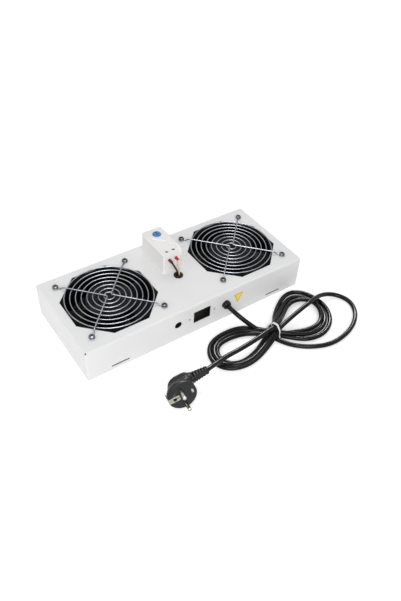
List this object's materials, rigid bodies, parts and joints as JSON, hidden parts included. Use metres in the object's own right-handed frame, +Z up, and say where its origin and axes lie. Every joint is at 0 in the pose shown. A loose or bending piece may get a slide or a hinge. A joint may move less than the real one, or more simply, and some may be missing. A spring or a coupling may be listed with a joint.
{
  "type": "rack fan tray",
  "caption": "Folded steel fan tray with axial fans under wire guards, a dial thermostat on top and a tied mains lead with an angled plug.",
  "frame": {"origin": "middle of the tray's underside", "axes": "+X to the right along the tray's width, +Y to the back, +Z up out of the panel that carries the fans"},
  "size_m": [0.3885, 0.2678, 0.0842],
  "materials": {
    "tray_powder_coat": "light grey powder coat, satin",
    "fan_frame": "black coated die-cast metal",
    "stator_steel": "laminated steel",
    "copper_winding": "enamelled copper",
    "bearing_bronze": "sintered bronze",
    "impeller_plastic": "black moulded plastic",
    "rotor_steel": "zinc plated steel",
    "rotor_cage": "rotor iron",
    "shaft_steel": "ground steel",
    "guard_chrome": "bright chrome plate",
    "wire_black": "black insulation",
    "screw_steel": "zinc plated",
    "thermostat_grey": "light grey moulded plastic",
    "dial_blue": "blue moulded plastic",
    "strip_brass": "plain brass",
    "ferrule_dark_red": "dark red sleeve, tinned end",
    "ferrule_red": "red sleeve, tinned end",
    "wire_cream": "pale orange insulation",
    "grommet_rubber": "black rubber",
    "gland_plastic": "black nylon",
    "label_yellow": "plain yellow film",
    "block_plastic": "off-white nylon",
    "core_brown": "brown insulation",
    "core_blue": "blue insulation",
    "core_green": "green and yellow insulation",
    "cord_pvc": "black flexible sheath",
    "tie_white": "white plastic-covered wire",
    "plug_rubber": "charcoal moulded plug",
    "pin_nickel": "nickel plated brass"
  },
  "bodies": {
    "tray_assembly": {"tray": "tray_powder_coat", "fan_frame_left": "fan_frame", "stator_core_left": "stator_steel", "stator_winding_left": "copper_winding", "fan_bearings_left": "bearing_bronze", "guard_rings_left": "guard_chrome", "guard_spokes_left": "guard_chrome", "fan_lead_left": "wire_black", "fan_frame_right": "fan_frame", "stator_core_right": "stator_steel", "stator_winding_right": "copper_winding", "fan_bearings_right": "bearing_bronze", "guard_rings_right": "guard_chrome", "guard_spokes_right": "guard_chrome", "fan_lead_right": "wire_black", "guard_screws": "screw_steel", "guard_nuts": "screw_steel", "thermostat_base": "thermostat_grey", "thermostat_cover": "thermostat_grey", "bimetal_strip": "strip_brass", "thermostat_terminals": "strip_brass", "terminal_screws": "screw_steel", "thermostat_screws": "screw_steel", "ferrule_black": "ferrule_dark_red", "ferrule_cream": "ferrule_red", "wire_black": "wire_black", "wire_cream": "wire_cream", "wire_grommet": "grommet_rubber", "cable_gland": "gland_plastic", "triangle_label": "label_yellow", "terminal_block": "block_plastic", "block_screws": "screw_steel", "earth_screw": "screw_steel", "earth_tag": "strip_brass", "core_live": "core_brown", "core_neutral": "core_blue", "core_earth": "core_green", "cord_lead": "cord_pvc", "cord_loop": "cord_pvc", "cord_hank": "cord_pvc", "cord_tail": "cord_pvc", "cord_tie": "tie_white", "plug_body": "plug_rubber", "plug_boot": "plug_rubber", "plug_pins": "pin_nickel", "plug_earth_contact": "pin_nickel"},
    "fan_left_rotor": {"impeller_left": "impeller_plastic", "rotor_can_left": "rotor_steel", "rotor_cage_left": "rotor_cage", "fan_shaft_left": "shaft_steel", "shaft_clip_left": "shaft_steel"},
    "fan_right_rotor": {"impeller_right": "impeller_plastic", "rotor_can_right": "rotor_steel", "rotor_cage_right": "rotor_cage", "fan_shaft_right": "shaft_steel", "shaft_clip_right": "shaft_steel"},
    "dial": {"thermostat_dial": "dial_blue"}
  },
  "joints": [
    {"name": "fan_left_spin", "type": "hinge", "parent": "tray_assembly", "child": "fan_left_rotor", "pos_m": [-0.0997, 0, 0.03], "axis": [0, 0, 1], "continuous": true},
    {"name": "fan_right_spin", "type": "hinge", "parent": "tray_assembly", "child": "fan_right_rotor", "pos_m": [0.0997, 0, 0.03], "axis": [0, 0, 1], "continuous": true},
    {"name": "thermostat_dial_turn", "type": "hinge", "parent": "tray_assembly", "child": "dial", "pos_m": [0.0015, 0.0463, 0.08], "axis": [0, 0, 1], "range_deg": [-150, 150]}
  ]
}
